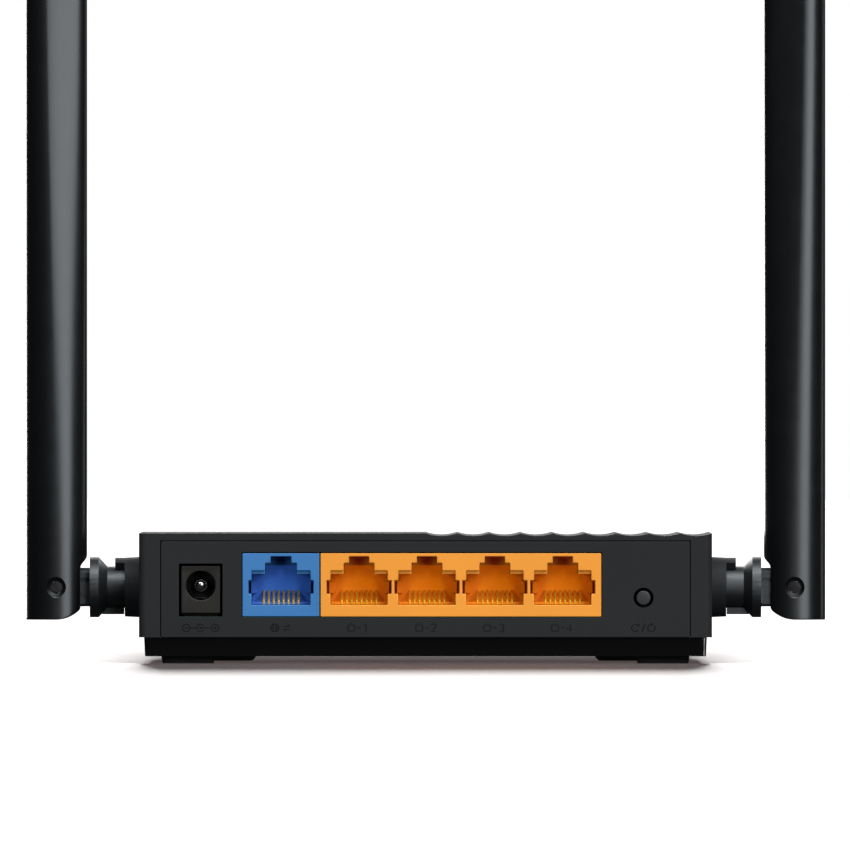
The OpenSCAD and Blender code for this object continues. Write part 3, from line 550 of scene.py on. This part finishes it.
def blade_half_thickness(u, z, inset):
    """Half thickness of the blade at u and z: a superellipse at the hinge, and towards the tip
    with its crest moved outwards and a long slope inwards. inset draws the surface in."""
    t = np.clip((z - Z_LOW) / (Z_HIGH - Z_LOW), 0, 1)
    share = t * t * (3 - 2 * t)
    half_w = HALF_W - inset
    crest = CREST * HALF_W * share
    out = u > crest
    s = np.where(out, (u - crest) / (half_w - crest), (crest - u) / (half_w + crest))
    s = np.clip(s, 0, 1)
    round_side = (1 - s ** ROUND_POWER) ** (1 / ROUND_POWER)
    slope_side = (1 - SLOPE_DROP * s ** SLOPE_POWER) * np.sqrt(1 - s ** SLOPE_END_POWER)
    height = np.where(out, round_side, (1 - share) * round_side + share * slope_side)
    return (HALF_T + (TIP_HALF_T - HALF_T) * share - inset) * height


def blade_reach(angle, z, inset):
    """Distance from the line at AXIS_U to the blade's surface, in a direction across it."""
    low, high = np.zeros_like(angle * z), np.full_like(angle * z, MAX_REACH)
    for _ in range(40):
        mid = (low + high) / 2
        u, v = AXIS_U + mid * np.cos(angle), mid * np.sin(angle)
        inside = (np.abs(v) < blade_half_thickness(u, z, inset)) & (np.abs(u) < HALF_W - inset)
        low, high = np.where(inside, mid, low), np.where(inside, high, mid)
    return low


def inner_limit(z):
    """Inner edge of the blade's outline: an arc about the pin, a relief beside the swivel, a chamfer."""
    upper = smooth_min(np.full_like(z, RELIEF_U), RELIEF_U - RELIEF_SLOPE * (z - RELIEF_Z), RELIEF_BLEND)
    r = -Z_LOW
    lower = -np.sqrt(np.clip(r * r - np.clip(z, -r, 0) ** 2, 0, None))
    return smooth_max(upper, lower, FOOT_BLEND)


def edge_inset(depth, r):
    """How far a rounded edge of radius r stands back at a depth below its face."""
    d = np.clip(depth, 0, r)
    return r - np.sqrt(np.clip(r * r - (r - d) ** 2, 0, None))


def half_angles():
    """Directions across one half of the blade, closer together at its two seams."""
    middle = np.linspace(0.18, math.pi - 0.1, 56)
    return np.array([*OUTER_SEAM_ANGLES, *middle, *[math.pi - a for a in reversed(INNER_SEAM_ANGLES)]])


def blade_heights():
    """Heights of the rings: close together where the outline bends."""
    foot = Z_LOW + FOOT_ZONE * np.linspace(0, 1, 9) ** 2
    lower = np.linspace(Z_LOW + FOOT_ZONE + 0.1, RELIEF_Z + 3, 66)
    upper = np.linspace(RELIEF_Z + 4, Z_HIGH - TIP_ZONE - 0.3, 80)
    tip = Z_HIGH - TIP_ZONE * np.linspace(1, 0, 9) ** 2
    return np.concatenate([foot, lower, upper, tip])


def blade_half(name):
    """Rear half of the right blade, closed by a flat face at the seam."""
    angles, heights = half_angles(), blade_heights()
    a, z = np.meshgrid(angles, heights)
    reach = blade_reach(a, z, 0.0)
    inwards, tiny, far = -np.cos(a), 1e-6, 99.0
    to_limit = (AXIS_U - inner_limit(z)) / np.clip(inwards, tiny, None)
    reach = smooth_min(reach, np.where(inwards > tiny, to_limit, far), RELIEF_BLEND)
    reach = reach - edge_inset(z - Z_LOW, FOOT_ROUND) - edge_inset(Z_HIGH - z, TIP_ROUND)
    across = reach * np.sin(a)
    reach = reach - SEAM_DEPTH * np.clip(1 - across / SEAM_HALF, 0, 1)
    u, v = AXIS_U + reach * np.cos(a), -reach * np.sin(a)
    rings = []
    for i in range(len(heights)):
        ring = [Vector((u[i, k], v[i, k], heights[i])) for k in range(len(angles))]
        first, last = ring[0], ring[-1]
        ring += [last.lerp(first, k / SEAM_STEPS) for k in range(1, SEAM_STEPS)]
        rings.append(ring)
    return loft(name, rings)


def hollow(name):
    """Cutter for the room inside the blade."""
    angles = np.linspace(0, 2 * math.pi, 48, endpoint=False)
    rings = []
    for z in np.linspace(RELIEF_Z + HOLLOW_FOOT, Z_HIGH - HOLLOW_TIP, 24):
        reach = blade_reach(angles, np.full_like(angles, z), SHELL_WALL)
        rings.append([Vector((AXIS_U + r * math.cos(a), r * math.sin(a), z)) for r, a in zip(reach, angles)])
    return loft(name, rings)


def cutter_rod(name, profile, at, axis):
    """Round cutter through a point. The profile lists (radius, distance along the axis)."""
    obj = lathe(name, profile, Vector((0, 0, 0)), 48)
    for v in obj.data.vertices:
        x, y, z = (c / MM for c in v.co)
        v.co = Vector(at) + (Vector((x, y, z)) if axis == "y" else Vector((x, -z, y)))
    return obj


def make_blade_mesh():
    """One finished half of a blade: hollow, with the tongue's slot, the lead's bore and the pin's recess."""
    half = blade_half("blade_half")
    u_slot, v_slot, z_slot = SLOT
    seat = PIN_FACE - 0.05
    lip = [(LIP_R + LIP_ROUND * (1 - math.cos(a)), PIN_FACE + LIP_DEPTH + LIP_ROUND * math.sin(a))
           for a in (math.pi / 2 * i / 6 for i in range(7))]
    recess = [(PIN_BORE_R, -0.5), (PIN_BORE_R, seat), (PIN_HEAD_R, seat), *lip,
              (LIP_R + LIP_ROUND, RECESS_END)]
    cut(half, [
        hollow("hollow"),
        block("slot", (-OUTSIDE, -v_slot, -OUTSIDE), (u_slot, v_slot, z_slot)),
        cutter_rod("lead_bore", [(LEAD_BORE_R, 3), (LEAD_BORE_R, RELIEF_Z + 4)], (LEAD_BORE_U, 0, 0), "z"),
        cutter_rod("pin_recess", [(r, -d) for r, d in recess], (0, 0, 0), "y"),
    ])
    return half


def place_blades():
    """Four shells from one half: mirrored for the side and for the face."""
    half = make_blade_mesh()
    points = [v.co.copy() for v in half.data.vertices]
    faces = [list(p.vertices) for p in half.data.polygons]
    bpy.data.objects.remove(half)
    for side, k in SIDES.items():
        at = centre(f"{side}_hinge_pin")
        for half_name, flip in (("rear", 1), ("front", -1)):
            verts = [at + MM * Vector((k * p.x, flip * p.y, p.z)) for p in points]
            order = [f if k * flip > 0 else f[::-1] for f in faces]
            node = f"{side}_antenna_{half_name}_shell"
            shell = mesh_object(f"{node}_skin", verts, order)
            smooth(shell)
            piece(shell, f"{side}_antenna", M["antenna"], "antenna_plastic", node)


place_blades()


# ---------------------------------------------------------------- leads in the antennas

LEAD_R = 0.57
# Way from the swivel's axis past the hinge pin and up the blade: inwards from the pin, and up
LEAD_ROUTE = [(13, 0), (8, 0), (4.8, 0), (3.6, 0.4), (3, 1.6), (3, 4), (3, 9), (2, 16), (0.5, 22), (0, 27.95)]


def place_antenna_leads():
    """Coaxial lead that bends across the fold hinge, from the swivel to the radiator."""
    for side, k in SIDES.items():
        pin = centre(f"{side}_hinge_pin")
        lead_low, lead_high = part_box(f"{side}_antenna_lead")
        inner_end = lead_high.x if k < 0 else lead_low.x
        route = [(abs((inner_end - pin.x) / MM), 0), *LEAD_ROUTE]
        path = [pin + MM * Vector((-k * x, 0, z)) for x, z in route]
        tube = sweep(f"{side}_antenna_lead_skin", smooth_path(path, 8), LEAD_R * MM, LEAD_R * MM,
                     Vector((0, 1, 0)), 16)
        smooth(tube)
        piece(tube, None, M["jacket"], "lead_black", f"{side}_antenna_lead")
        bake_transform(tube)


place_antenna_leads()


# ---------------------------------------------------------------- button and power pin

TINY_R = 0.02          # where a turned profile meets its axis


def front_and_size(node):
    """Middle of a node's front face, its length along y and half its width, in millimetres."""
    low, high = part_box(node)
    at = Vector(((low.x + high.x) / 2, low.y, (low.z + high.z) / 2))
    return at, (high.y - low.y) / MM, (high.x - low.x) / 2 / MM


def place_button():
    """Stem with a nearly flat face and a crisp rim, on its flange and plunger."""
    at, length, flange_r = front_and_size("wps_reset_button")
    r, rim, crown, plunger_r = 1.45, 0.15, 0.05, 1
    flange_front, flange_back = length - 1.05, length - 0.3
    face = [(x * (r - rim), crown * x * x) for x in (0.25, 0.5, 0.75, 0.9)]
    shoulder = [(r - rim + x, crown + y) for x, y in arc((0, rim), rim, -90, 0, 6)]
    profile = [(TINY_R, 0), *face, *shoulder, (r, flange_front), (flange_r, flange_front),
               (flange_r, flange_back), (plunger_r, flange_back), (plunger_r, length), (TINY_R, length)]
    stem = lathe("wps_reset_button_skin", profile, at, 72)
    smooth(stem)
    piece(stem, "button", M["button"], "button_grey", "wps_reset_button")


def place_power_pin():
    """Centre pin with a polished round tip, on a flange and a thinner shank behind it."""
    at, length, flange_r = front_and_size("power_jack_pin")
    r, shank_r, tip_length = 0.98, 0.8, 0.85
    flange_front, flange_back, chamfer = 5.9, 6.3, 0.1
    tip = [(r * math.sin(a), tip_length * r * (1 - math.cos(a)))
           for a in (math.pi / 2 * i / 14 for i in range(1, 15))]
    profile = [(TINY_R, 0), *tip, (r, flange_front), (flange_r - chamfer, flange_front),
               (flange_r, flange_front + chamfer), (flange_r, flange_back), (shank_r, flange_back),
               (shank_r, length), (TINY_R, length)]
    pin = lathe("power_jack_pin_skin", profile, at, 64)
    smooth(pin)
    piece(pin, "root", M["inlet_pin"], "plated_metal", "power_jack_pin")


place_button()
place_power_pin()


# ---------------------------------------------------------------- jack contacts

CONTACTS = 8
CONTACT_PITCH = 1.02
CONTACT_HALF_W = 0.22
CONTACT_HALF_T = 0.15
CONTACT_END_Z = 2.42
# Way of a wire: back from its front and up from its foot
CONTACT_RISE = [(0.16, 0.0), (0.16, 0.35), (0.17, 0.62), (0.36, 0.95), (1.1, 1.30), (3.4, 2.02),
                (5.0, 2.56), (5.55, 2.74), (6.0, 2.80), (6.5, 2.70), (7.1, 2.50)]


def jack_contacts(node, centres):
    """Eight formed wires a jack: up the tray's front, back over it and round into the carrier."""
    low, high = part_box(node)
    rise = [*CONTACT_RISE, (high.y / MM - low.y / MM, CONTACT_END_Z)]
    wires = []
    for at in centres:
        for i in range(CONTACTS):
            x = at + (i - (CONTACTS - 1) / 2) * CONTACT_PITCH * MM
            path = [Vector((x, low.y + y * MM, low.z + z * MM)) for y, z in rise]
            wires.append(sweep("wire", smooth_path(path, 4), CONTACT_HALF_W * MM, CONTACT_HALF_T * MM,
                               Vector((1, 0, 0)), 10))
    wire_set = join(f"{node}_skin", wires)
    smooth(wire_set)
    piece(wire_set, "root", M["gold"], "gold_contact", node)


wan_x = MOUNTS["wan_port"]["pos_m"][0]
lan_xs = [MOUNTS[f"lan_port_{i}"]["pos_m"][0] for i in (1, 2, 3, 4)]
jack_contacts("wan_jack_contacts", [wan_x])
jack_contacts("lan_jack_contacts", lan_xs)


# ---------------------------------------------------------------- raised marks on the panel

MARK_H = 1.65
MARK_HALF_STROKE = 0.13
MARK_RELIEF = 0.035
MARK_Z = (panel_low.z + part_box("wan_jack_housing")[0].z) / 2 - 0.12 * MM

# Strokes in a box one unit high, with x from its middle
DIGITS = {
    1: [[(-0.16, 0.78), (0.04, 1.0), (0.04, 0.0)]],
    2: [[*arc((0, 0.72), 0.28, 165, -30, 9), (-0.28, 0.0), (0.30, 0.0)]],
    3: [[*arc((0, 0.74), 0.26, 150, -90, 9)], [*arc((0, 0.25), 0.27, 90, -150, 9)]],
    4: [[(0.32, 0.28), (-0.32, 0.28), (0.14, 1.0), (0.14, 0.0)]],
}
SOCKET = [[(-0.42, 0.08), (-0.42, 0.78), (-0.16, 0.78), (-0.16, 0.98), (0.16, 0.98), (0.16, 0.78),
           (0.42, 0.78), (0.42, 0.08), (-0.42, 0.08)]]
GLOBE = [arc((0, 0.5), 0.5, 0, 360, 24), [(-0.5, 0.5), (0.5, 0.5)],
         [(0.22 * math.cos(math.radians(a)), 0.5 + 0.5 * math.sin(math.radians(a)))
          for a in range(0, 361, 20)]]
RING = [arc((0, 0.5), 0.46, 0, 360, 24)]
MINUS = [[(-0.22, 0.5), (0.22, 0.5)]]
PLUS = [*MINUS, [(0, 0.28), (0, 0.72)]]
INLET = [arc((0, 0.5), 0.46, 40, 320, 18), arc((0, 0.5), 0.09, 0, 360, 10), [(0, 0.5), (1.35, 0.5)],
         [(-1.35, 0.5), (-0.46, 0.5)]]
SWAP = [[(-0.4, 0.7), (0.4, 0.7)], [(0.12, 0.98), (0.4, 0.7)], [(-0.4, 0.3), (0.4, 0.3)],
        [(-0.4, 0.3), (-0.12, 0.02)]]
RENEW = [arc((0, 0.48), 0.46, 30, 320, 20), [(0.10, 0.80), (0.40, 0.71), (0.44, 1.0)]]
SLASH = [[(-0.2, -0.05), (0.2, 1.05)]]
DASH = [[(-0.2, 0.5), (0.2, 0.5)]]
RESTART = [arc((0, 0.48), 0.46, 70, 395, 20), [(-0.02, 0.70), (0.16, 0.92), (-0.06, 1.1)]]


def flat_stroke(path, half_w, half_h):
    """Ribbon on the panel's face with a rounded back."""
    rings = []
    for i, p in enumerate(path):
        along = (path[min(i + 1, len(path) - 1)] - path[max(i - 1, 0)]).normalized()
        side = Vector((along.z, 0, -along.x))
        rings.append([p + side * half_w * math.cos(a) + Vector((0, -half_h * math.sin(a), 0))
                      for a in (2 * math.pi * k / 8 for k in range(8))])
    return loft("stroke", rings)


def place_mark(name, x, groups):
    """One raised mark. Each group of strokes has an offset from x, in units of the mark's height."""
    scale = MARK_H * MM
    strokes = []
    for offset, lines in groups:
        for line in lines:
            path = [Vector((x + (offset + u) * scale, rear_face, MARK_Z + (v - 0.5) * scale))
                    for u, v in line]
            strokes.append(flat_stroke(path, MARK_HALF_STROKE * MM, MARK_RELIEF * MM))
    obj = join(name, strokes)
    smooth(obj)
    piece(obj, "root", M["mark"], "cover_plastic")


place_mark("mark_power", centre("power_jack_body").x,
           [(-1.81, RING), (-1.81, MINUS), (0, INLET), (1.81, RING), (1.81, PLUS)])
place_mark("mark_wan", wan_x, [(-0.75, GLOBE), (0.75, SWAP)])
for i, x in enumerate(lan_xs, 1):
    place_mark(f"mark_lan_{i}", x, [(-0.95, SOCKET), (0, DASH), (0.85, DIGITS[i])])
place_mark("mark_button", centre("wps_reset_button").x, [(-1.0, RENEW), (0, SLASH), (1.0, RESTART)])


# ---------------------------------------------------------------- floor

FLOOR_REACH = 4000
SEAM_Y = rear_face / MM + 3    # the two parts of the floor meet just inside the case's edge
FRONT_SLOPE = 0.20
FRONT_STEPS = (0, 1, 3, 6, 9, 13, 18, 24, 30, 40, 60, 120, 300, 1000, FLOOR_REACH)
BACK_RISE = 0.13
BACK_STEPS = (3, 8, 15, 25, 40, 70, 110, 150)
BACK_END = ((20, 2), (40, 3), (70, 3))     # the rise levels out: distance and height past its last step
EASE = 8


def eased(distance, slope):
    """Height of a slope that starts gently."""
    return slope * (distance - EASE * (1 - math.exp(-distance / EASE)))


def front_profile():
    """Floor in front of the case: falling away from the seam below its edge."""
    return [(SEAM_Y - d, -eased(d, FRONT_SLOPE)) for d in FRONT_STEPS]


def back_profile():
    """Floor under and behind the case: level, then rising a little and level again."""
    back = -rear_face / MM
    rise = [(back + d, eased(d, BACK_RISE)) for d in BACK_STEPS]
    end_y, end_z = rise[-1]
    end = [(end_y + y, end_z + z) for y, z in BACK_END]
    return [(SEAM_Y, 0), (0, 0), (back, 0), *rise, *end, (FLOOR_REACH, end[-1][1])]


def place_floor(name, profile):
    """Wide strip of floor: matt, faintly glowing, and left out of reflections and bounced light."""
    reach = FLOOR_REACH * MM
    verts = [(x, y * MM, z * MM) for y, z in profile for x in (-reach, reach)]
    faces = [(2 * i, 2 * i + 1, 2 * i + 3, 2 * i + 2) for i in range(len(profile) - 1)]
    mesh = bpy.data.meshes.new(name)
    mesh.from_pydata(verts, [], faces)
    floor = bpy.data.objects.new(name, mesh)
    bpy.context.scene.collection.objects.link(floor)
    s = Surface(name, (0.89, 0.87, 0.865), 0.9, Specular_IOR_Level=0.0,
                Emission_Color=(1.0, 0.78, 0.78, 1), Emission_Strength=0.08)
    s.shades(size_mm=120, amount=0.01)
    s.mat.cycles.emission_sampling = "NONE"
    mesh.materials.append(s.mat)
    smooth(floor)
    floor.visible_glossy = False
    floor.visible_diffuse = False
    return floor


FLOORS = [place_floor("floor_front", front_profile()), place_floor("floor_back", back_profile())]


# ---------------------------------------------------------------- light

TARGET = Vector((0, 0, 0.03))


def aim(obj, at, target):
    """Puts a light or camera at a place, looking at another."""
    obj.location = at
    obj.rotation_mode = "QUATERNION"
    obj.rotation_quaternion = (Vector(target) - Vector(at)).to_track_quat("-Z", "Y")


def light_group(name, objects, state):
    """Light-linking group that includes or excludes some objects."""
    group = bpy.data.collections.new(name)
    for k, obj in enumerate(objects):
        group.objects.link(obj)
        group.collection_objects[k].light_linking.link_state = state
    return group


def softbox(name, azimuth, elevation, distance, size, radiance, group, glossy=True):
    """Rectangular light aimed at the router, for one group. Azimuth 0 is the port side, 90 the right."""
    light = bpy.data.lights.new(name, "AREA")
    light.shape = "RECTANGLE"
    light.size, light.size_y = size
    light.energy = math.pi * size[0] * size[1] * radiance
    obj = bpy.data.objects.new(name, light)
    bpy.context.scene.collection.objects.link(obj)
    obj.visible_glossy = glossy
    obj.light_linking.receiver_collection = group
    a, e = math.radians(azimuth), math.radians(elevation)
    at = TARGET + distance * Vector((math.sin(a) * math.cos(e), -math.cos(a) * math.cos(e), math.sin(e)))
    aim(obj, at, TARGET)


def floor_sun(name, floor, lean, strength, width, no_shadow):
    """Wide sun for one part of the floor. A positive lean tips it towards the far side."""
    sun = bpy.data.lights.new(name, "SUN")
    sun.energy = strength
    sun.angle = math.radians(width)
    obj = bpy.data.objects.new(name, sun)
    bpy.context.scene.collection.objects.link(obj)
    obj.light_linking.receiver_collection = light_group(name, [floor], "INCLUDE")
    obj.light_linking.blocker_collection = light_group(f"{name}_shadow", no_shadow, "EXCLUDE")
    lean = math.radians(lean)
    aim(obj, (0, math.sin(lean), math.cos(lean)), (0, 0, 0))


def place_lights():
    """Suns for the floor, softboxes for the router, and some for its antennas or its base alone."""
    floor_front, floor_back = FLOORS
    arms = [o for o in bpy.data.objects if any(w in o.name for w in ("antenna", "swivel", "hinge_pin"))]
    # Lean, strength and width, with angles in degrees. The antennas cast no shadow on the floor.
    floor_sun("floor_front_sun", floor_front, 26, 5.4, 23, arms)
    floor_sun("floor_back_sun", floor_back, -46, 6.0, 56, arms)
    router = light_group("router_light", FLOORS, "EXCLUDE")
    antennas = light_group("antenna_light", arms, "INCLUDE")
    base = light_group("base_light", [NODES["bottom_case"]], "INCLUDE")
    # Azimuth, elevation, distance, size, radiance and group
    softbox("key", 25, 26, 2.2, (1.4, 1.2), 5.0, router)
    softbox("top_front", 6, 64, 2.0, (2.6, 0.55), 10, router)
    softbox("left_fill", -14, 3, 4.0, (0.4, 0.7), 33, router, glossy=False)
    softbox("right_fill", 14, 3, 4.0, (0.4, 0.7), 35, router, glossy=False)
    softbox("antenna_key", 24.8, 4, 2.2, (1.1, 1.4), 4.6, antennas)
    softbox("antenna_top", 12, 62, 2.0, (1.4, 0.5), 12, antennas)
    softbox("antenna_side", 56, 40, 2.0, (0.8, 0.8), 8, antennas)
    softbox("antenna_back", 200, 12, 2.2, (1.0, 1.2), 7, antennas)
    softbox("base_strip", 76, 8, 2.0, (0.5, 1.4), 9, base)
    softbox("right_strip", 118, 8, 2.0, (0.3, 1.4), 1.3, router)
    softbox("left_back", 215, 35, 2.4, (1.2, 1.2), 6, router)
    softbox("right_back", 140, 35, 2.4, (1.2, 1.2), 4, router)
    softbox("back_fill", 180, 25, 3.0, (1.6, 1.0), 4, router)


WORLD_FILL = 0.04


def place_world():
    """White where the camera looks past the object, and a dim even fill for everything else."""
    world = bpy.data.worlds.new("studio")
    bpy.context.scene.world = world
    world.use_nodes = True
    nodes, links = world.node_tree.nodes, world.node_tree.links
    fill = nodes["Background"]
    fill.inputs["Color"].default_value = (0.95, 0.97, 1.0, 1)
    fill.inputs["Strength"].default_value = WORLD_FILL
    seen = nodes.new("ShaderNodeBackground")
    seen.inputs["Color"].default_value = (1, 1, 1, 1)
    seen.inputs["Strength"].default_value = 1.0
    mix = nodes.new("ShaderNodeMixShader")
    links.new(nodes.new("ShaderNodeLightPath").outputs["Is Camera Ray"], mix.inputs[0])
    links.new(fill.outputs[0], mix.inputs[1])
    links.new(seen.outputs[0], mix.inputs[2])
    links.new(mix.outputs[0], nodes["World Output"].inputs["Surface"])


place_lights()
place_world()


# ---------------------------------------------------------------- camera

# In metres, apart from the sensor's millimetres
VIEW_WIDTH = 0.17526       # what the picture spans at the port side
VIEW_CENTRE_Z = 0.0492
EYE_HEIGHT = 0.055
EYE_DISTANCE = 7.0
EYE_X = -0.0001
SENSOR = 36


def place_camera():
    """Nearly level long lens square to the port side."""
    data = bpy.data.cameras.new("camera")
    data.sensor_width = SENSOR
    data.lens = SENSOR * EYE_DISTANCE / VIEW_WIDTH
    data.clip_end = 40
    data.dof.use_dof = False
    camera = bpy.data.objects.new("camera", data)
    bpy.context.scene.collection.objects.link(camera)
    eye = (EYE_X, rear_face - EYE_DISTANCE, EYE_HEIGHT)
    aim(camera, eye, (EYE_X, rear_face, VIEW_CENTRE_Z))
    bpy.context.scene.camera = camera


place_camera()
bpy.context.scene.view_settings.view_transform = "Standard"
bpy.context.scene.view_settings.look = "None"
